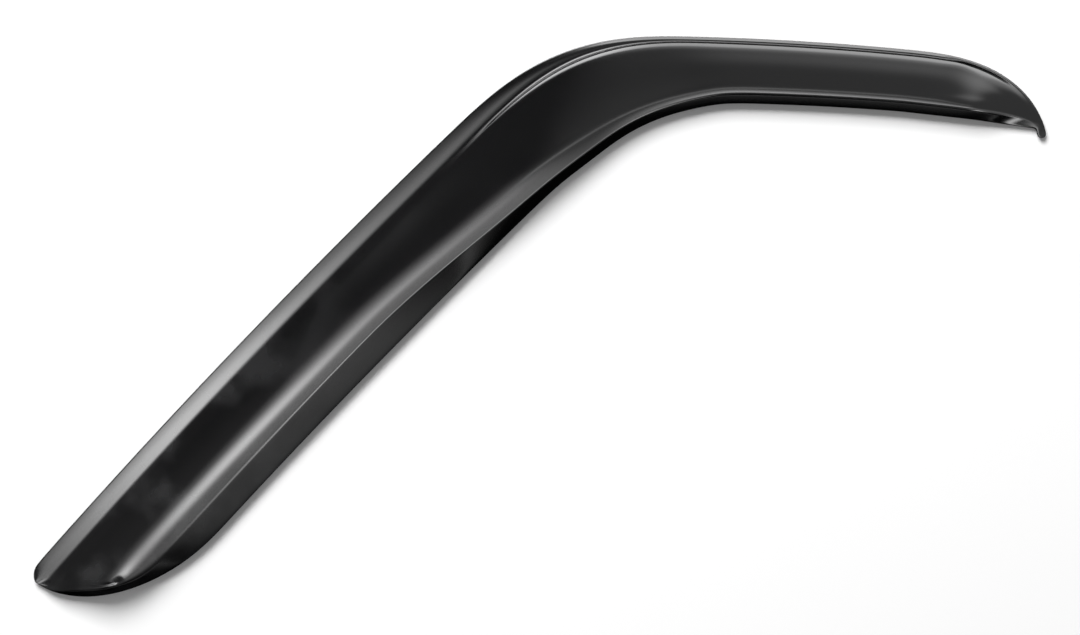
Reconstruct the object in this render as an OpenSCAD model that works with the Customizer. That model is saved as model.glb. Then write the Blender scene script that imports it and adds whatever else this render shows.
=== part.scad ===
// Rain deflector for the side window of a left front door. One moulded acrylic shell follows
// the door frame up the windscreen pillar, round a bend and back along the roof, and strips of
// foam tape on the back of its flange hold it to the frame.
// +X runs to the rear of the car, +Z is up and -Y is the outside of the door. The sticky face
// of the tape is the plane y = 0, and the origin lies on it where the roof run starts.
// A place on the shell is given by three lengths: s along the outer edge from the foot, t square
// to that edge and towards the window, and h outwards from the back of the flange.

/* [Outer edge] */
// Length of the run up the windscreen pillar
pillar_len = 542; // [500:1:620]
// Length of the bend at the top of the pillar
bend_len = 239; // [220:1:300]
// Length of the run along the roof
roof_len = 186; // [160:1:260]
// Length of the rounded end behind the roof run
end_len = 154; // [140:1:170]
// Slope of the pillar run at its foot, in degrees
foot_slope = 48.7; // [42:0.1:55]
// Turn of the gentle bow of the pillar run, in degrees
pillar_bow = 4.8; // [1:0.1:8]
// Turn of the bend, in degrees
bend_turn = 45.3; // [40:0.1:50]
// Turn of the gentle bow of the roof run, in degrees
roof_bow = 4.1; // [1:0.1:8]
// Turn of the rounded end, in degrees
end_turn = 72; // [66:1:76]

/* [Outline] */
// Width of the pillar run, from the outer edge to the lip
pillar_w = 101; // [90:1:115]
// Width at the start of the roof run
roof_w = 60; // [54:1:70]
// Width at the rear of the roof run
rear_w = 56.8; // [50:0.2:64]
// Length of the curve that cuts the foot off
foot_sweep = 144; // [110:1:170]
// Radius of the outer corner at the foot
foot_r = 14; // [10:1:20]
// Width of the tab at the rear tip
tab_w = 8; // [7:0.5:10]
// Length of the tab below the lip
tab_len = 5; // [4:0.5:8]

/* [Flange] */
// Width of the flange on the pillar run
pillar_flange = 16; // [14:0.5:18]
// Width of the flange on the roof run
roof_flange = 4.6; // [4:0.1:6]
// Thickness of the flange at its outer edge, which is thinned
flange_edge_t = 1.9; // [1.4:0.1:2.3]

/* [Section] */
// Thickness of the acrylic
wall = 3; // [2.4:0.1:3.4]
// Height of the ridge of the pillar run
pillar_ridge_h = 30; // [25:0.5:35]
// Height of the ridge of the roof run
roof_ridge_h = 19; // [16:0.5:23]
// Height of the crease of the pillar run, where its face turns in to the lip
pillar_crease_h = 25; // [20:0.5:28]
// Height of the crease of the roof run
roof_crease_h = 18; // [14:0.5:20]
// Height of the free edge of the lip on the pillar run
pillar_lip_h = 8; // [5:0.5:12]
// Height of the free edge of the lip on the roof run
roof_lip_h = 8.5; // [5:0.5:11]
// Height of the step between the flange and the face of the roof run
step_h = 9; // [6:0.5:11]
// Bulge of the face between the step and the ridge of the roof run
roof_crown = 0.8; // [0:0.1:2]
// Bulge of the face of the pillar run
pillar_crown = 0.8; // [0:0.1:2]
// Width of the turned-in lip on the pillar run
pillar_lip_w = 23.5; // [18:0.5:30]
// Width of the turned-in lip on the roof run
roof_lip_w = 9; // [8:0.5:12]
// Width of the turned-in lip round the foot
foot_lip_w = 6.5; // [5:0.5:9]
// Distance from the ridge to the crease of the pillar run
pillar_ridge_gap = 16.5; // [12:0.5:20]
// Distance from the ridge to the crease of the roof run
roof_ridge_gap = 5.5; // [5:0.5:8]
// Distance from the ridge to the crease where the foot brings them together
foot_ridge_gap = 4; // [3:0.5:6]

/* [Roundings] */
// Radius along the ridge of the pillar run
ridge_r = 32; // [20:1:36]
// Radius along the soft crease at the foot
soft_crease_r = 16; // [10:0.5:20]
// Radius along the sharp crease of the roof run
crease_r = 4.4; // [4:0.1:6]
// Radius along the crest of the step
crest_r = 6; // [5:0.1:7]
// Radius along the crest where the step runs out at the rounded end
end_crest_r = 20; // [14:1:30]
// Radius in the hollow between the flange and the pillar run's face
pillar_hollow_r = 9; // [6:0.5:14]
// Radius in the hollow at the foot of the step
roof_hollow_r = 1.2; // [1:0.1:2]

/* [Foam tape] */
// Thickness of the tape
tape_t = 1.1; // [0.8:0.1:1.6]
// Distance from the outer edge to the tape
tape_margin = 1.6; // [1.5:0.1:2]
// Distance from the tape to where the flat back of the flange ends
tape_inset = 0.3; // [0.1:0.1:0.8]
// Gap between one strip of tape and the next
tape_gap = 4; // [2:0.5:8]

/* [Hidden] */

bend_start = pillar_len;
roof_start = bend_start + bend_len;
end_start = roof_start + roof_len;
tab_start = end_start + end_len;
rail_len = tab_start + tab_len;

function limit(v, low, high) = min(max(v, low), high);
function ease(u) = let (v = limit(u, 0, 1)) v * v * (3 - 2 * v);
function mix(a, b, u) = a + (b - a) * u;
function unit(v) = v / norm(v);
function blend(a, b, s, from, to) = mix(a, b, ease((s - from) / (to - from)));
// How far a quarter circle or ellipse still is from its full height, 1 at u = 0 and 0 at u = 1
function arc_drop(u) = 1 - sqrt(1 - pow(1 - limit(u, 0, 1), 2));

// How quickly the rounded end tightens towards the tip, 1 being a plain arc
END_TIGHTEN = 1.85;
// The heading of the outer edge at s, in degrees above the X axis
function heading(s) = foot_slope
    - pillar_bow * limit(s / pillar_len, 0, 1)
    - bend_turn * ease((s - bend_start) / bend_len)
    - roof_bow * limit((s - roof_start) / roof_len, 0, 1)
    - end_turn * pow(limit((s - end_start) / end_len, 0, 1), END_TIGHTEN);

// The outer edge, as points that follow the heading in short steps
EDGE_STEP = 2;
edge = [for (s = 0, x = 0, z = 0;
             s < rail_len + 2 * EDGE_STEP;
             x = x + EDGE_STEP * cos(heading(s + EDGE_STEP / 2)),
             z = z + EDGE_STEP * sin(heading(s + EDGE_STEP / 2)),
             s = s + EDGE_STEP)
        [s, x, z]];
edge_x = [for (p = edge) [p[0], p[1]]];
edge_z = [for (p = edge) [p[0], p[2]]];
function edge_point(s) = [lookup(s, edge_x), lookup(s, edge_z)];
function inward(s) = [sin(heading(s)), -cos(heading(s))];
// The place of s and t seen from the outside of the door, as [x, z]
function plan(s, t) = edge_point(s) + t * inward(s);

// How late the width of the bend gives way to the roof's, 1 being an even change
NARROW_SKEW = 1.4;
// How far past the start of the bend its width starts to change, as a share of the bend
NARROW_LAG = 0.17;
// The width of the shell at s, before the two ends are shaped
function run_width(s) = mix(
    pillar_w,
    mix(roof_w, rear_w, limit((s - roof_start) / roof_len, 0, 1)),
    ease(pow(limit((s - bend_start) / bend_len - NARROW_LAG, 0, 1), NARROW_SKEW)));

// The lip of the rounded end is a straight line that turns down this many degrees
LIP_TURN = 0.8;
// How softly that line meets the side of the tab
TAB_BLEND = 1.5;
lip_heading = heading(end_start) - LIP_TURN;
lip_dir = [cos(lip_heading), sin(lip_heading)];
lip_corner = plan(end_start, rear_w);
function meets_lip(s) = heading(s) > lip_heading - 89;
function lip_distance(s) = meets_lip(s)
    ? max(cross(lip_corner - edge_point(s), lip_dir) / cross(inward(s), lip_dir), 0)
    : 0;
function end_width(s) = let (w = lip_distance(s))
    (w + tab_w + sqrt(pow(w - tab_w, 2) + TAB_BLEND * TAB_BLEND)) / 2;

// The tip of the tab is a half circle, of which the last station lies this many degrees round
TAB_TURN = 76;
tab_r = tab_w / 2;
function tab_round(s) = tab_r * (1 - sqrt(1 - pow(limit((s - rail_len) / tab_r + 1, 0, sin(TAB_TURN)), 2)));

// The two free edges of the shell as values of t: the outer edge and the lip
function outer(s) = foot_r * arc_drop(s / foot_r) + tab_round(s);
function inner(s) = s < end_start
    ? run_width(s) * sqrt(1 - pow(1 - limit(s / foot_sweep, 0, 1), 2))
    : end_width(s) - tab_round(s);

// How much wider the lip is along t where it runs aslant of the outer edge, and the most it is
SLANT_STEP = 0.5;
SLANT_MOST = 2.2;
function slant(s) = let (
    a = plan(s - SLANT_STEP, inner(s - SLANT_STEP)),
    b = plan(s + SLANT_STEP, inner(s + SLANT_STEP)))
    limit(1 / max(abs(unit(b - a) * [cos(heading(s)), sin(heading(s))]), 0.01), 1, SLANT_MOST);

// How far before the bend the lip starts to narrow, the crease is sharp and the step starts
LIP_LEAD = 180;
CREASE_LEAD = 108;
STEP_LEAD = 72;
// How far past the start of the bend the flange starts to narrow
FLANGE_LAG = 33;
// How far behind the roof run the flange starts to run out, and how soon it has gone
FLANGE_TAIL = 30;
FLANGE_FADE = 38;
// The size of a feature at s, which changes from the pillar run's to the roof run's in the bend
function bend_mix(pillar, roof, s) = blend(pillar, roof, s, bend_start, roof_start);
// How far the flange has run out, from 0 along the shell to 1 at the rounded end
function run_out(s) = ease((s - end_start - FLANGE_TAIL) / FLANGE_FADE);
function flange_w(s) = (1 - run_out(s))
    * blend(pillar_flange, roof_flange, s, bend_start + FLANGE_LAG, roof_start);
function lip_w(s) = blend(pillar_lip_w, roof_lip_w, s, bend_start - LIP_LEAD, roof_start - LIP_LEAD);
function ridge_gap(s) = bend_mix(pillar_ridge_gap, roof_ridge_gap, s);
function ridge_h(s) = bend_mix(pillar_ridge_h, roof_ridge_h, s);
function crease_h(s) = bend_mix(pillar_crease_h, roof_crease_h, s);
function lip_h(s) = bend_mix(pillar_lip_h, roof_lip_h, s);
function crown(s) = bend_mix(pillar_crown, roof_crown, s);
function step_mix(s) = ease((s - bend_start + STEP_LEAD) / bend_len);
function hollow_r(s) = bend_mix(pillar_hollow_r, roof_hollow_r, s);
function soft_r(s) = blend(soft_crease_r, crease_r, s, foot_sweep, bend_start - CREASE_LEAD);
function top_r(s) = mix(crest_r, end_crest_r, run_out(s));

// How far the face stands off the flange's level, from 1 along the shell to 0 at the tab
END_SINK = 80;
function rise(s) = 1 - ease((s - tab_start + END_SINK) / END_SINK);

// The width of the step's slope on the pillar run, on the roof run and at the rounded end, and
// how far before the bend it starts to steepen and how far past its start it is steep
PILLAR_STEP_RUN = 10;
ROOF_STEP_RUN = 1;
END_STEP_RUN = 5;
STEEP_LEAD = 162;
STEEP_TAIL = 148;
function step_run(s) = mix(
    blend(PILLAR_STEP_RUN, ROOF_STEP_RUN, s, bend_start - STEEP_LEAD, bend_start + STEEP_TAIL),
    END_STEP_RUN,
    run_out(s));

// The most of the way to the ridge that the step takes, and its height at the rounded end as a
// share of the ridge's
STEP_SHARE = 0.6;
END_TOP = 0.3;
// The least distance between two corners of the section, where there is room for it
CORNER_GAP = 3;
// The section before the ends cut it, as [t, h] at the flange, step, ridge, crease and lip
function full_face(s) = let (
    lip_t = s < end_start ? run_width(s) : end_width(s),
    crease_t = lip_t - lip_w(s),
    ridge_t = crease_t - ridge_gap(s),
    flange_t = flange_w(s),
    room = max(ridge_t - flange_t, CORNER_GAP),
    run = min(step_run(s), STEP_SHARE * room),
    top = ridge_h(s) - wall,
    step_top = mix(mix(top * run / room, step_h, step_mix(s)), END_TOP * top, run_out(s)),
    near_crease_t = flange_t + room + ridge_gap(s))
    [[flange_t, wall], [flange_t + run, wall + step_top], [flange_t + room, ridge_h(s)],
     [near_crease_t, crease_h(s)], [max(lip_t, near_crease_t + lip_w(s)), lip_h(s)]];

// How far from the foot its lip has its full width, and the least share of it before that
FOOT_LIP_FADE = 22;
FOOT_LIP_LEAST = 0.2;
// How far from the foot the ridge is as close to the crease as it gets
FOOT_MERGE = 50;
function least_gap(s) = mix(pillar_ridge_gap, foot_ridge_gap, limit(s / FOOT_MERGE, 0, 1));
// The most that the flange thins towards its outer edge, as a share of its width there
EDGE_FALL = 0.5;
// The depth of the round edge that closes the outer edge and the lip
function nose(s) = min(wall / 2, (inner(s) - outer(s)) / 8);
// The section at s as six corner points, each [t, h], kept in order where the ends squeeze it
function corners(s) = let (
    face = full_face(s),
    low = outer(s) + nose(s),
    high = inner(s) - nose(s),
    gap = min(CORNER_GAP, (high - low) / 6),
    flange_t = limit(face[0][0], low + gap / 3, high - 4 * gap),
    low_h = max(flange_edge_t, wall - EDGE_FALL * (flange_t - low)),
    step_t = limit(flange_t + face[1][0] - face[0][0], flange_t + gap / 3, high - 3 * gap),
    foot_lip = foot_lip_w * slant(s) * limit(s / FOOT_LIP_FADE, FOOT_LIP_LEAST, 1),
    crease_t = limit(min(face[3][0], high - foot_lip), step_t + 2 * gap, high - gap),
    ridge_t = limit(min(face[2][0], crease_t - least_gap(s)), step_t + gap, crease_t - gap))
    [[low, low_h], [flange_t, wall], [step_t, lookup(step_t, face)],
     [ridge_t, lookup(ridge_t, face)], [crease_t, lookup(crease_t, face)],
     [high, min(lip_h(s), lookup(high, face))]];

// The least distance from a corner to where its rounding starts, and the most of it as a share
// of the side. The ridge takes more than the crease does of the side between them
LEAST_LEG = 0.9;
LEG_SHARE = 0.45;
RIDGE_SHARE = 0.56;
CREASE_SHARE = 0.36;
// The sharpest corner that is rounded by its full radius, as the cosine of its turn
SHARPEST = -0.9;
// A rounded corner at p between a and b, as a curve of n + 1 points. On the side to b it runs
// reach times as far from the corner as on the side to a, up to its share of each side
function rounding(a, p, b, r, n, reach = 1, near_share = LEG_SHARE, far_share = LEG_SHARE) = let (
    u = unit(a - p),
    v = unit(b - p),
    turn = acos(limit(-(u * v), SHARPEST, 1)),
    leg = min(max(r * tan(turn / 2), LEAST_LEG), near_share * norm(a - p)),
    far_leg = min(reach * leg, far_share * norm(b - p)))
    [for (i = [0:n]) let (w = i / n) p + (1 - w) * (1 - w) * leg * u + w * w * far_leg * v];

// Faces round each corner and across the face
HOLLOW_N = 3;
CREST_N = 5;
FACE_N = 3;
RIDGE_N = 5;
CREASE_N = 4;
// How much further the crest eases out over the face than down the step
CREST_REACH = 2.2;
// Width of face below which its bulge grows less
CROWN_FULL = 30;
// The last point across the flange before the hollow, and the last that is flat on its back
FLANGE_LAST = 2;
BACK_LAST = 3;
// The outer skin of the section at s, from the flange's edge to the lip
function skin(s) = let (
    c = corners(s),
    hollow = rounding([c[0][0], wall], c[1], c[2], hollow_r(s), HOLLOW_N),
    crest = rounding(c[1], c[2], c[3], top_r(s), CREST_N, CREST_REACH),
    ridge = rounding(c[2], c[3], c[4], ridge_r, RIDGE_N, far_share = RIDGE_SHARE),
    crease = rounding(c[3], c[4], c[5], soft_r(s), CREASE_N, near_share = CREASE_SHARE),
    from = crest[CREST_N],
    to = ridge[0],
    bulge = crown(s) * limit((to[0] - from[0]) / CROWN_FULL, 0, 1),
    face = [for (i = [1:FACE_N - 1]) let (w = i / FACE_N) mix(from, to, w) + [0, 4 * bulge * w * (1 - w)]],
    points = concat([[(c[0][0] + hollow[0][0]) / 2, wall]], hollow, crest, face, ridge, crease, [c[5]]))
    concat([c[0]], [for (p = points) [p[0], wall + (p[1] - wall) * rise(s)]]);

// The three strips of tape, each as the stretch of s that it covers
TAPE_LEAD = 8;
roof_tape_start = roof_start - TAPE_LEAD;
pillar_stretch = [foot_r + tape_gap, bend_start];
bend_stretch = [bend_start + tape_gap, roof_tape_start - tape_gap];
roof_stretch = [roof_tape_start, end_start];
function tape_edge(s) = let (
    points = skin(s),
    along = unit(points[BACK_LAST + 1] - points[BACK_LAST - 1]))
    points[BACK_LAST][0] + wall * along[1] - tape_inset;

// The origin is the middle of the tape where the roof run starts
datum = plan(roof_start, (tape_margin + tape_edge(roof_start)) / 2);
function place(s, t, h) = let (p = plan(s, t) - datum) [p[0], -(tape_t + h), p[1]];

// Stations along the edge, closest together where the outline turns fast
FOOT_START = 1;
FOOT_N = 13;
PILLAR_SPACING = 19;
BEND_SPACING = 10.5;
BEND_TAIL = 30;
ROOF_SPACING = 16;
END_SPACING = 8.5;
TAB_LEAD = 10;
TAB_SPACING = 2;
TAB_N = 5;
function spaced(from, to, step) = let (n = ceil((to - from) / step))
    [for (i = [0:n - 1]) mix(from, to, i / n)];
stations = concat(
    [for (i = [0:FOOT_N - 1]) FOOT_START + (foot_sweep - FOOT_START) * (1 - cos(90 * i / FOOT_N))],
    spaced(foot_sweep, bend_start, PILLAR_SPACING),
    spaced(bend_start, roof_start + BEND_TAIL, BEND_SPACING),
    spaced(roof_start + BEND_TAIL, end_start, ROOF_SPACING),
    spaced(end_start, tab_start - TAB_LEAD, END_SPACING),
    spaced(tab_start - TAB_LEAD, rail_len - tab_r, TAB_SPACING),
    [for (i = [0:TAB_N - 1]) rail_len - tab_r + tab_r * sin(TAB_TURN * i / (TAB_N - 1))]);

skins = [for (s = stations) skin(s)];
ROWS = len(stations);
COLS = len(skins[0]);
outside = [for (i = [0:ROWS - 1]) [for (p = skins[i]) place(stations[i], p[0], p[1])]];

// The inner skin lies one wall behind the outer one, square to it and, towards the foot, more and
// more straight behind it. It is flat behind the flange and at the two ends, where the whole
// section rises less than this above the flange
FLAT_RISE = 1.2;
FOOT_LEAN = 60;
BEHIND = [0, -1, 0];
flat_rows = [for (row = skins) max([for (p = row) p[1]]) < wall + FLAT_RISE];
function square_to(i, j) = let (
    along = outside[min(i + 1, ROWS - 1)][j] - outside[max(i - 1, 0)][j],
    across = outside[i][min(j + 1, COLS - 1)] - outside[i][j - 1])
    unit(cross(across, along));
function normal(i, j) = j <= FLANGE_LAST || flat_rows[i]
    ? BEHIND
    : unit(mix(BEHIND, square_to(i, j), limit(stations[i] / FOOT_LEAN, 0, 1)));
function behind(i, j) = let (p = outside[i][j] - wall * normal(i, j))
    j <= BACK_LAST || flat_rows[i] ? [p[0], -tape_t, p[2]] : p;
inside = [for (i = [0:ROWS - 1]) [for (j = [0:COLS - 1]) behind(i, j)]];

// A free edge is rounded from skin to skin, and stands out by its depth at the middle
EDGE_ANGLES = [45, 0, -45];
function edge_round(from, to, toward, depth) = let (mid = (from + to) / 2)
    [for (a = EDGE_ANGLES) mid + (from - mid) * sin(a) + toward * depth * cos(a)];
function outer_dir(i) = let (v = inward(stations[i])) [-v[0], 0, -v[1]];
function lip_out(i) = unit(outside[i][COLS - 1] - outside[i][COLS - 2]);
// The closed section at station i: the outer skin, the lip's edge, the inner skin, the outer edge
function ring(i) = concat(
    outside[i],
    edge_round(outside[i][COLS - 1], inside[i][COLS - 1], lip_out(i), nose(stations[i])),
    [for (j = [COLS - 1:-1:0]) inside[i][j]],
    edge_round(inside[i][0], outside[i][0], outer_dir(i), nose(stations[i])));

// A solid through closed rings of points that all have the same count
module loft(rings) {
    n = len(rings[0]);
    last = (len(rings) - 1) * n;
    sides = [for (i = [0:n:last - n], j = [0:n - 1]) let (k = (j + 1) % n)
        each [[i + j, i + n + k, i + k], [i + j, i + n + j, i + n + k]]];
    ends = [[for (j = [0:n - 1]) j], [for (j = [n - 1:-1:0]) last + j]];
    polyhedron([for (r = rings) each r], concat(sides, ends), convexity = 8);
}

module deflector_shell() {
    color([0.05, 0.05, 0.055])
        loft([for (i = [0:ROWS - 1]) ring(i)]);
}

// A strip of tape on the flat back of the flange, cut to a stretch of the outer edge
TAPE_STEP = 12;
module tape(stretch) {
    places = concat(spaced(stretch[0], stretch[1], TAPE_STEP), [stretch[1]]);
    near = [for (s = places) plan(s, tape_margin) - datum];
    far = [for (i = [len(places) - 1:-1:0]) plan(places[i], tape_edge(places[i])) - datum];
    color([0.14, 0.14, 0.15])
        rotate([90, 0, 0])
            linear_extrude(tape_t)
                polygon(concat(near, far));
}

module pillar_tape() tape(pillar_stretch);
module bend_tape() tape(bend_stretch);
module roof_tape() tape(roof_stretch);

deflector_shell();
pillar_tape();
bend_tape();
roof_tape();
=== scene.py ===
"""Rain deflector for the window of a left front door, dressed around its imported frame.

The frame gives the acrylic shell and the three strips of foam tape at their real size: +X runs
to the rear of the car, +Z is up and -Y is the outside of the door. This script gives the shell
its smooth moulded surface, its pressed dimple and its polish, gives the tape its foam, and sets
the whole against a white board under soft studio light, seen square from the outside.
"""

import logging
import math
from dataclasses import dataclass
from enum import Enum

import bpy
from mathutils import Matrix, Vector


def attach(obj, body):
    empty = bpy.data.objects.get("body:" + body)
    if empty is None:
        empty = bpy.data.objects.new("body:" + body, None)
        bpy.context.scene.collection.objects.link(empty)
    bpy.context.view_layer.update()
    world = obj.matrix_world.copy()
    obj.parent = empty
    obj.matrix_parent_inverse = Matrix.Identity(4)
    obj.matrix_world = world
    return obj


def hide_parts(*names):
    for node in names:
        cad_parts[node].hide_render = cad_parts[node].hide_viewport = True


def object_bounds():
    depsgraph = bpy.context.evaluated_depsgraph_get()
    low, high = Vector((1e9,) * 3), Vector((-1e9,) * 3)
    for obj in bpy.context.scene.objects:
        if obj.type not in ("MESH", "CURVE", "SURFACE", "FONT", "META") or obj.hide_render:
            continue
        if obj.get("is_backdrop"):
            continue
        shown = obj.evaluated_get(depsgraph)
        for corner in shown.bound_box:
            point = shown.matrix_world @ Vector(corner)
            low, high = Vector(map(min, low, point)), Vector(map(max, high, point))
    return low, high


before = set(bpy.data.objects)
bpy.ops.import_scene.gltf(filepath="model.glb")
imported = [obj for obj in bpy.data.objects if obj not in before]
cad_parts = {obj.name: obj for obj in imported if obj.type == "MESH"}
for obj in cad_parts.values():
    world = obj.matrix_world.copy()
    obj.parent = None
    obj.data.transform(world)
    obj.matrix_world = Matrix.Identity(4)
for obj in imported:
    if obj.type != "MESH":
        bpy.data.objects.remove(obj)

LOG = logging.getLogger("deflector")
MM = 0.001
BODY = "root"
WHITE = (1.0, 1.0, 1.0, 1.0)

# Tells 0 from 1 where a node gives whole numbers
HALF = 0.5

# The places of a Mix node's colour sockets, which share their names with its other kinds
COLOUR_A = 6
COLOUR_B = 7
MIXED_COLOUR = 2

Colour = tuple[float, float, float]
Place = tuple[float, float, float]
Span = tuple[float, float]


class Field:
    """A socket of a node graph that can be used in an expression."""

    def __init__(self, graph: "Graph", socket: bpy.types.NodeSocket) -> None:
        """Wraps a socket.

        Args:
            graph: The graph that the socket belongs to.
            socket: The output socket that holds the value.
        """
        self.graph = graph
        self.socket = socket

    def _math(self, operation: str, first: "Field | float", second: "Field | float") -> "Field":
        """Adds a Math node for one operation on two values and returns its result."""
        return self.graph.value("ShaderNodeMath", {"operation": operation}, {0: first, 1: second})

    def __add__(self, other: "Field | float") -> "Field":
        """Returns self + other."""
        return self._math("ADD", self, other)

    __radd__ = __add__

    def __mul__(self, other: "Field | float") -> "Field":
        """Returns self * other."""
        return self._math("MULTIPLY", self, other)

    __rmul__ = __mul__

    def __sub__(self, other: "Field | float") -> "Field":
        """Returns self - other."""
        return self._math("SUBTRACT", self, other)

    def __rsub__(self, other: float) -> "Field":
        """Returns other - self."""
        return self._math("SUBTRACT", other, self)

    def above(self, level: float) -> "Field":
        """Returns 1 where the value is above a level and 0 elsewhere."""
        return self._math("GREATER_THAN", self, level)

    def below(self, level: float) -> "Field":
        """Returns 1 where the value is below a level and 0 elsewhere."""
        return self._math("LESS_THAN", self, level)

    def larger(self, other: "Field | float") -> "Field":
        """Returns the larger of two values."""
        return self._math("MAXIMUM", self, other)

    def rise(self, span: Span) -> "Field":
        """Returns a smooth step from 0 at the span's start to 1 at its end.

        Args:
            span: The values between which the step lies.

        Returns:
            The step.
        """
        return self.graph.value(
            "ShaderNodeMapRange",
            {"interpolation_type": "SMOOTHSTEP"},
            {"Value": self, "From Min": span[0], "From Max": span[1]},
        )

    def fall(self, span: Span) -> "Field":
        """Returns a smooth step from 1 at the span's start to 0 at its end."""
        return 1.0 - self.rise(span)


class Graph:
    """The node graph of one material or world."""

    def __init__(self, owner: bpy.types.ID) -> None:
        """Empties the owner's node tree and keeps it.

        Args:
            owner: The material or world whose nodes are built.
        """
        owner.use_nodes = True
        self.tree = owner.node_tree
        self.tree.nodes.clear()

    def node(
        self, kind: str, settings: dict | None = None, inputs: dict | None = None
    ) -> bpy.types.Node:
        """Adds a node.

        Args:
            kind: The node's type.
            settings: Properties of the node, which are set first.
            inputs: Values or fields for its sockets, by name or index.

        Returns:
            The new node.
        """
        made = self.tree.nodes.new(kind)
        for name, setting in (settings or {}).items():
            setattr(made, name, setting)
        for name, content in (inputs or {}).items():
            if isinstance(content, Field):
                self.tree.links.new(content.socket, made.inputs[name])
            else:
                made.inputs[name].default_value = content
        return made

    def value(
        self, kind: str, settings: dict | None = None, inputs: dict | None = None, output: str | int = 0
    ) -> Field:
        """Adds a node and returns one of its outputs as a field."""
        return Field(self, self.node(kind, settings, inputs).outputs[output])

    def place(self) -> Field:
        """Returns the position on the object in metres."""
        return self.value("ShaderNodeTexCoord", output="Object")

    def ray(self, question: str) -> Field:
        """Returns what the Light Path node says of the ray that is being traced."""
        return self.value("ShaderNodeLightPath", output=question)

    def axis(self, vector: Field, name: str) -> Field:
        """Returns one component, X, Y or Z, of a vector."""
        return self.value("ShaderNodeSeparateXYZ", inputs={0: vector}, output=name)

    def noise(self, place: Field, scale: float, detail: float = 2.0) -> Field:
        """Returns soft noise from 0 to 1 with this many cells in a metre."""
        inputs = {"Vector": place, "Scale": scale, "Detail": detail}
        return self.value("ShaderNodeTexNoise", inputs=inputs, output="Fac")

    def blend(self, factor: Field, first: Colour, second: Colour) -> Field:
        """Returns the colour between two by a factor from 0 to 1."""
        inputs = {0: factor, COLOUR_A: (*first, 1.0), COLOUR_B: (*second, 1.0)}
        return self.value("ShaderNodeMix", {"data_type": "RGBA"}, inputs, output=MIXED_COLOUR)

    def relief(self, height: Field, distance: float, strength: float = 1.0) -> Field:
        """Returns the normal of a surface with a relief of a distance in metres."""
        inputs = {"Strength": strength, "Distance": distance, "Height": height}
        return self.value("ShaderNodeBump", inputs=inputs, output="Normal")

    def finish(self, shader: Field, output: str = "ShaderNodeOutputMaterial") -> None:
        """Ends the graph in its output node."""
        self.node(output, inputs={"Surface": shader})


@dataclass(frozen=True)
class AcrylicFinish:
    """Dark smoke acrylic, moulded and polished: near black, with faint lighter clouds towards its foot
    that paint a soft sheen on the face.
    """

    name: str = "dark_smoke_acrylic"
    deep: Colour = (0.0016, 0.0016, 0.0018)
    # Colour of the lighter clouds, which are a painted sheen, and of the grain
    sheen_and_grain_pale: Colour = (0.019, 0.019, 0.0196)
    index: float = 1.49
    roughness: float = 0.16
    haze: float = 0.04
    cloud_scale: float = 19.0
    cloud_detail: float = 3.5
    painted_sheen_edge: Span = (0.4, 0.62)
    painted_sheen_end: Span = (-0.43, -0.26)
    grain_scale: float = 900.0
    grain_height: float = 0.000006
    grain_tint: float = 0.14

    def material(self) -> bpy.types.Material:
        """Builds the material.

        Returns:
            The material, with a soft gloss that varies a little and a fine grain.
        """
        made = bpy.data.materials.new(self.name)
        graph = Graph(made)
        place = graph.place()
        cloud = graph.noise(place, self.cloud_scale, self.cloud_detail)
        grain = graph.noise(place, self.grain_scale)
        # Painted sheen: lighter clouds in the colour, faded out past the lower pillar run, stand for
        # soft light on the face. The grain mixed in is the acrylic's own.
        painted_sheen = cloud.rise(self.painted_sheen_edge) * graph.axis(place, "X").fall(self.painted_sheen_end)
        colour = graph.blend(painted_sheen + self.grain_tint * grain, self.deep, self.sheen_and_grain_pale)
        shader = graph.value(
            "ShaderNodeBsdfPrincipled",
            inputs={
                "Base Color": colour,
                "Roughness": self.roughness - self.haze / 2 + self.haze * cloud,
                "Normal": graph.relief(grain, self.grain_height),
                "IOR": self.index,
            },
        )
        graph.finish(shader)
        return made


@dataclass(frozen=True)
class FoamFinish:
    """Dark closed-cell foam tape, with a smoother sticky film on its outer face."""

    name: str = "dark_foam_tape"
    foam: Colour = (0.045, 0.045, 0.048)
    film: Colour = (0.07, 0.07, 0.074)
    film_depth: float = 0.05 * MM
    roughness: float = 0.9
    film_polish: float = 0.5
    cell_scale: float = 2500.0
    cell_height: float = 0.00008
    cell_strength: float = 0.6
    film_cover: float = 0.8

    def material(self) -> bpy.types.Material:
        """Builds the material.

        Returns:
            The material, foam on the cut sides and film on the face at y = 0.
        """
        made = bpy.data.materials.new(self.name)
        graph = Graph(made)
        place = graph.place()
        inputs = {"Vector": place, "Scale": self.cell_scale}
        cells = graph.value("ShaderNodeTexVoronoi", inputs=inputs, output="Distance")
        film = graph.axis(place, "Y").above(-self.film_depth)
        height = cells * (1.0 - self.film_cover * film)
        shader = graph.value(
            "ShaderNodeBsdfPrincipled",
            inputs={
                "Base Color": graph.blend(film, self.foam, self.film),
                "Roughness": self.roughness - self.film_polish * film,
                "Normal": graph.relief(height, self.cell_height, self.cell_strength),
            },
        )
        graph.finish(shader)
        return made


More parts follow.
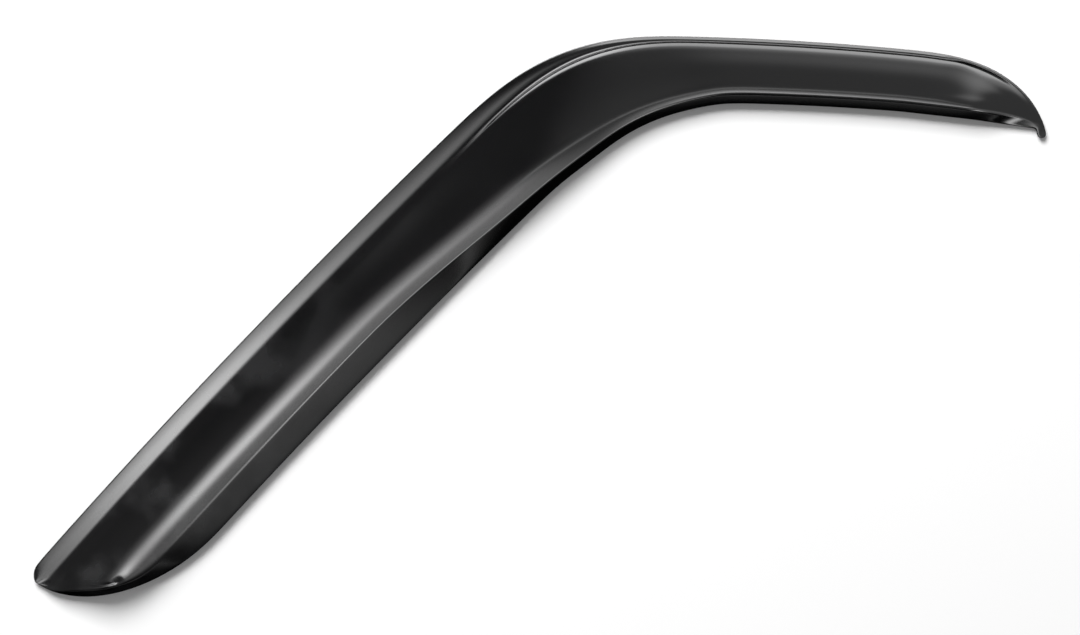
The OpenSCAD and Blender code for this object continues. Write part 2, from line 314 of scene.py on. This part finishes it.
@dataclass(frozen=True)
class BoardFinish:
    """White board that shows from its front only and takes the shadows.

    In the gloss of the piece it is painted dark where it lies close, a painted shade for the shadow
    under the piece, and white further off.
    """

    name: str
    in_gloss: bool
    white: float = 0.9
    glow: float = 0.07
    # Distances in metres over which the painted shade in the gloss gives way to white
    painted_shade_span: Span = (0.05, 0.3)

    def material(self) -> bpy.types.Material:
        """Builds the material.

        Returns:
            The material, clear to light and to whoever looks from behind.
        """
        made = bpy.data.materials.new(self.name)
        graph = Graph(made)
        to_camera = graph.ray("Is Camera Ray")
        seen = to_camera
        if self.in_gloss:
            seen = seen.larger(graph.ray("Is Glossy Ray"))
        # Painted shade: to the gloss the board is black within 5 cm of the piece and white past 30 cm.
        # This stands for the shadow under it.
        beyond_painted_shade = to_camera.larger(graph.ray("Ray Length").rise(self.painted_shade_span))
        first = graph.ray("Transparent Depth").below(HALF)
        behind = graph.value("ShaderNodeNewGeometry", output="Backfacing")
        white = (self.white, self.white, self.white, 1.0)
        matt = graph.value("ShaderNodeBsdfDiffuse", inputs={"Color": white})
        glow = graph.value("ShaderNodeEmission", inputs={"Strength": self.glow})
        lit = graph.value("ShaderNodeAddShader", inputs={0: matt, 1: glow})
        board = graph.value("ShaderNodeMixShader", inputs={0: beyond_painted_shade, 2: lit})
        clear = graph.value("ShaderNodeBsdfTransparent")
        shown = seen * first * (1.0 - behind)
        graph.finish(graph.value("ShaderNodeMixShader", inputs={0: shown, 1: clear, 2: board}))
        return made


def choose(obj: bpy.types.Object) -> None:
    """Makes an object the only selected one and the active one.

    Args:
        obj: The object to choose.
    """
    bpy.ops.object.select_all(action="DESELECT")
    obj.select_set(True)
    bpy.context.view_layer.objects.active = obj


def apply_modifier(obj: bpy.types.Object, kind: str, **settings: object) -> None:
    """Adds a modifier to an object and applies it.

    Args:
        obj: The object to change.
        kind: The modifier's type.
        **settings: The modifier's properties.
    """
    choose(obj)
    modifier = obj.modifiers.new(kind.lower(), kind)
    for name, setting in settings.items():
        setattr(modifier, name, setting)
    bpy.ops.object.modifier_apply(modifier=modifier.name)


@dataclass(frozen=True)
class Dimple:
    """The small pressed dimple near the foot of the pillar run."""

    place: Place = (-506.5 * MM, -29.6 * MM, -475.2 * MM)
    radius: float = 5.0 * MM
    depth: float = 1.2 * MM

    def press(self, piece: bpy.types.Object) -> None:
        """Presses the dimple into a piece with a warp between two markers.

        Args:
            piece: The piece to change.
        """
        markers = []
        for sink in (0.0, self.depth):
            bpy.ops.object.empty_add(location=Vector(self.place) + Vector((0.0, sink, 0.0)))
            markers.append(bpy.context.object)
        bpy.context.view_layer.update()
        apply_modifier(
            piece,
            "WARP",
            object_from=markers[0],
            object_to=markers[1],
            falloff_type="SMOOTH",
            falloff_radius=self.radius,
        )
        for marker in markers:
            bpy.data.objects.remove(marker)


@dataclass(frozen=True)
class DeflectorShell:
    """The one-piece acrylic moulding."""

    finish: AcrylicFinish
    dimple: Dimple = Dimple()
    node: str = "deflector_shell"
    name: str = "acrylic_shell"
    slot: str = "shell"
    weld: float = 0.001 * MM
    any_angle: float = math.pi
    strip_influence: float = 2.0
    smoothing: int = 2
    sharp_angle: float = math.radians(40)

    def build(self) -> bpy.types.Object:
        """Models the moulding from a merged copy of the frame's shell.

        Returns:
            The piece, which stands for the frame's shell.
        """
        piece = bpy.data.objects.new(self.name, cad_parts[self.node].data.copy())
        bpy.context.scene.collection.objects.link(piece)
        self._merge_to_strips(piece)
        apply_modifier(piece, "SUBSURF", levels=self.smoothing, render_levels=self.smoothing)
        self.dimple.press(piece)
        choose(piece)
        bpy.ops.object.shade_smooth_by_angle(angle=self.sharp_angle)
        piece.data.materials.clear()
        piece.data.materials.append(self.finish.material())
        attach(piece, BODY)
        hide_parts(self.node)
        return piece

    def _merge_to_strips(self, piece: bpy.types.Object) -> None:
        """Merges loose triangles and pairs them into the long four-sided faces of the loft.

        Args:
            piece: The piece to change.
        """
        choose(piece)
        bpy.ops.object.mode_set(mode="EDIT")
        bpy.ops.mesh.select_all(action="SELECT")
        bpy.ops.mesh.remove_doubles(threshold=self.weld)
        bpy.ops.mesh.tris_convert_to_quads(
            face_threshold=self.any_angle,
            shape_threshold=self.any_angle,
            topology_influence=self.strip_influence,
        )
        bpy.ops.object.mode_set(mode="OBJECT")


@dataclass(frozen=True)
class FoamTape:
    """The strips of foam tape on the back of the flange."""

    finish: FoamFinish
    nodes: tuple[str, ...] = ("pillar_tape", "bend_tape", "roof_tape")

    def dress(self) -> list[bpy.types.Object]:
        """Gives the frame's strips their foam and film.

        Returns:
            The strips.
        """
        foam = self.finish.material()
        strips = [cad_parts[node] for node in self.nodes]
        for strip in strips:
            strip.data.materials.clear()
            strip.data.materials.append(foam)
        return strips


class Facing(Enum):
    """The way that a board faces, as the turn of a plane that faces up."""

    FRONT = (math.pi / 2, 0.0, 0.0)
    UP = (0.0, 0.0, 0.0)


@dataclass(frozen=True)
class KeyLamp:
    """The large soft lamp that lights the board and throws the shadow under each edge."""

    place: Place = (-1.25, -4.0, 3.2)
    size: float = 2.9
    watts: float = 365.0

    def build(self, target: Vector) -> None:
        """Adds the lamp, aimed at the target and kept out of the reflections.

        Args:
            target: The point that it faces.
        """
        place = target + Vector(self.place)
        bpy.ops.object.light_add(type="AREA", location=place)
        lamp = bpy.context.object
        lamp.name = "key_lamp"
        lamp.data.size = self.size
        lamp.data.energy = self.watts
        lamp.rotation_euler = (target - place).to_track_quat("-Z", "Y").to_euler()
        lamp.visible_camera = False
        lamp.visible_glossy = False


@dataclass(frozen=True)
class ReflectorCard:
    """A glowing card with soft edges, which is seen only in the gloss of the piece."""

    name: str
    place: Place
    width: float
    height: float
    strength: float
    turn: float = 0.0
    soft: float = 0.5

    def build(self, target: Vector) -> None:
        """Adds the card, facing the target.

        Args:
            target: The point that it faces.
        """
        place = target + Vector(self.place)
        bpy.ops.object.select_all(action="DESELECT")
        bpy.ops.mesh.primitive_plane_add(size=1.0, location=place)
        card = bpy.context.object
        card.name = self.name
        aim = (target - place).to_track_quat("Z", "Y").to_matrix().to_4x4()
        card.matrix_world = (
            Matrix.Translation(place)
            @ aim
            @ Matrix.Rotation(self.turn, 4, "Z")
            @ Matrix.Diagonal((self.width, self.height, 1.0, 1.0))
        )
        card.visible_camera = False
        card.visible_diffuse = False
        card.visible_shadow = False
        card.data.materials.append(self._glow())
        card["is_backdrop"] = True

    def _glow(self) -> bpy.types.Material:
        """Builds a clear glow that fades out over the soft share of each side.

        Returns:
            The material.
        """
        made = bpy.data.materials.new(f"{self.name}_glow")
        graph = Graph(made)
        spread = graph.value("ShaderNodeTexCoord", output="UV")
        strength = self.strength
        for name in ("X", "Y"):
            along = graph.axis(spread, name)
            strength = strength * along.rise((0.0, self.soft)) * along.fall((1.0 - self.soft, 1.0))
        glow = graph.value("ShaderNodeEmission", inputs={"Strength": strength})
        clear = graph.value("ShaderNodeBsdfTransparent")
        graph.finish(graph.value("ShaderNodeAddShader", inputs={0: glow, 1: clear}))
        return made


@dataclass(frozen=True)
class RoomLight:
    """The light of the room, which the gloss of the piece mirrors, by where it comes from.

    X is how far to the right, Y how far to the back and Z how high a direction points, each
    from -1 to 1. A span is the stretch of one of them over which a light comes in or dies away.
    Towards the back the room is white. What isn't gloss gets an even, dim light from it.
    """

    even: float = 0.2
    right: float = 0.65
    right_x: Span = (-0.32, 0.22)
    right_above: float = 2.6
    right_above_z: Span = (0.42, 0.68)
    left: float = 0.25
    left_x: Span = (-0.72, -0.5)
    left_z: Span = (0.5, 0.6)
    low: float = 1.3
    low_x: Span = (0.2, 0.4)
    low_y: Span = (-0.35, 0.1)
    low_z: Span = (-0.45, -0.25)
    sky: float = 4.6
    sky_z: Span = (0.68, 0.8)
    left_sky: float = 8.0
    left_sky_x: Span = (-0.25, 0.05)
    ground_z: Span = (-0.85, -0.5)
    back_y: Span = (0.0, 0.3)

    def build(self) -> None:
        """Gives the world a white ground to the camera and this light to the piece."""
        world = bpy.data.worlds.new("studio_room")
        bpy.context.scene.world = world
        graph = Graph(world)
        seen = graph.ray("Is Camera Ray")
        gloss = graph.ray("Is Glossy Ray")
        room = self.even + gloss * (self._mirrored(graph) - self.even)
        strength = room + seen * (1.0 - room)
        shader = graph.value("ShaderNodeBackground", inputs={"Color": WHITE, "Strength": strength})
        graph.finish(shader, "ShaderNodeOutputWorld")

    def _mirrored(self, graph: Graph) -> Field:
        """Works out what a mirrored ray meets.

        Args:
            graph: The world's graph.

        Returns:
            The strength of the light, where 1 is white.
        """
        toward = graph.value("ShaderNodeTexCoord", output="Generated")
        x = graph.axis(toward, "X")
        y = graph.axis(toward, "Y")
        z = graph.axis(toward, "Z")
        right = (self.right + self.right_above * z.rise(self.right_above_z)) * x.rise(self.right_x)
        left = self.left * x.fall(self.left_x) * z.fall(self.left_z)
        low = self.low * x.rise(self.low_x) * y.fall(self.low_y) * z.fall(self.low_z)
        sky = (self.sky + self.left_sky * x.fall(self.left_sky_x)) * z.rise(self.sky_z)
        front = (right + left + low + sky) * z.rise(self.ground_z)
        return front + (1.0 - front) * y.rise(self.back_y)


@dataclass(frozen=True)
class Studio:
    """The white board behind the piece, the floor, the lamp, the cards and the room."""

    wall_gap: float = 2 * MM
    floor_drop: float = 110 * MM
    span: float = 40.0
    lamp: KeyLamp = KeyLamp()
    room: RoomLight = RoomLight()
    cards: tuple[ReflectorCard, ...] = (
        ReflectorCard(
            name="pillar_card",
            place=(-0.631, -3.2, -0.149),
            width=0.76,
            height=4.8,
            strength=12.5,
            turn=math.radians(-51),
        ),
        ReflectorCard(
            name="pillar_halo",
            place=(-0.497, -3.19, -0.034),
            width=1.8,
            height=8.4,
            strength=4.8,
            turn=math.radians(-52),
        ),
        ReflectorCard(
            name="roof_card",
            place=(0.35, -3.2, 0.52),
            width=1.6,
            height=0.4,
            strength=2.5,
            soft=0.35,
        ),
        ReflectorCard(
            name="crease_card",
            place=(0.707, -0.735, -0.872),
            width=0.9,
            height=0.6,
            strength=11.0,
            turn=math.radians(120),
        ),
    )

    def build(self, low: Vector, high: Vector) -> None:
        """Sets the stage round the piece's box.

        Args:
            low: The lowest corner of the box.
            high: The highest corner of the box.
        """
        centre = (low + high) / 2
        wall = Vector((centre.x, high.y + self.wall_gap, centre.z))
        floor = Vector((centre.x, centre.y, low.z - self.floor_drop))
        self._board("back_board", Facing.FRONT, wall, in_gloss=True)
        self._board("floor", Facing.UP, floor, in_gloss=False)
        self.lamp.build(centre)
        for card in self.cards:
            card.build(centre)
        self.room.build()

    def _board(self, name: str, facing: Facing, place: Vector, in_gloss: bool) -> None:
        """Adds one white board.

        Args:
            name: The board's name.
            facing: The way that it faces.
            place: Its middle.
            in_gloss: Whether the gloss of the piece mirrors it.
        """
        bpy.ops.object.select_all(action="DESELECT")
        bpy.ops.mesh.primitive_plane_add(size=self.span, location=place, rotation=facing.value)
        board = bpy.context.object
        board.name = name
        bpy.ops.object.transform_apply(location=True, rotation=True, scale=True)
        board.data.materials.append(BoardFinish(f"{name}_white", in_gloss).material())
        board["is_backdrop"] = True


@dataclass(frozen=True)
class FrontCamera:
    """A long lens square on to the outside of the door."""

    lens: float = 120.0
    frame_width: float = 0.9504
    aim_right: float = 0.3 * MM
    aim_up: float = -1.1 * MM
    outline_depth: float = 6 * MM
    sight: float = 100.0

    def build(self, low: Vector, high: Vector) -> None:
        """Places the camera so that the frame has its width where the piece's outline lies.

        Args:
            low: The lowest corner of the piece's box.
            high: The highest corner of the piece's box.
        """
        centre = (low + high) / 2
        data = bpy.data.cameras.new("front_camera")
        data.lens = self.lens
        data.clip_end = self.sight
        camera = bpy.data.objects.new("front_camera", data)
        bpy.context.scene.collection.objects.link(camera)
        distance = self.frame_width * data.lens / data.sensor_width
        depth = high.y - self.outline_depth - distance
        camera.location = (centre.x + self.aim_right, depth, centre.z + self.aim_up)
        camera.rotation_euler = (math.pi / 2, 0.0, 0.0)
        bpy.context.scene.camera = camera


def main() -> None:
    """Builds and dresses the piece, then the studio and the camera."""
    logging.basicConfig(level=logging.INFO, format="%(name)s: %(message)s")
    bpy.context.scene.view_settings.view_transform = "Standard"
    low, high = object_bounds()
    shell = DeflectorShell(AcrylicFinish()).build()
    LOG.info("%s: %d faces", shell.name, len(shell.data.polygons))
    for strip in FoamTape(FoamFinish()).dress():
        LOG.info("%s: dressed", strip.name)
    Studio().build(low, high)
    FrontCamera().build(low, high)


if __name__ == "__main__":
    main()
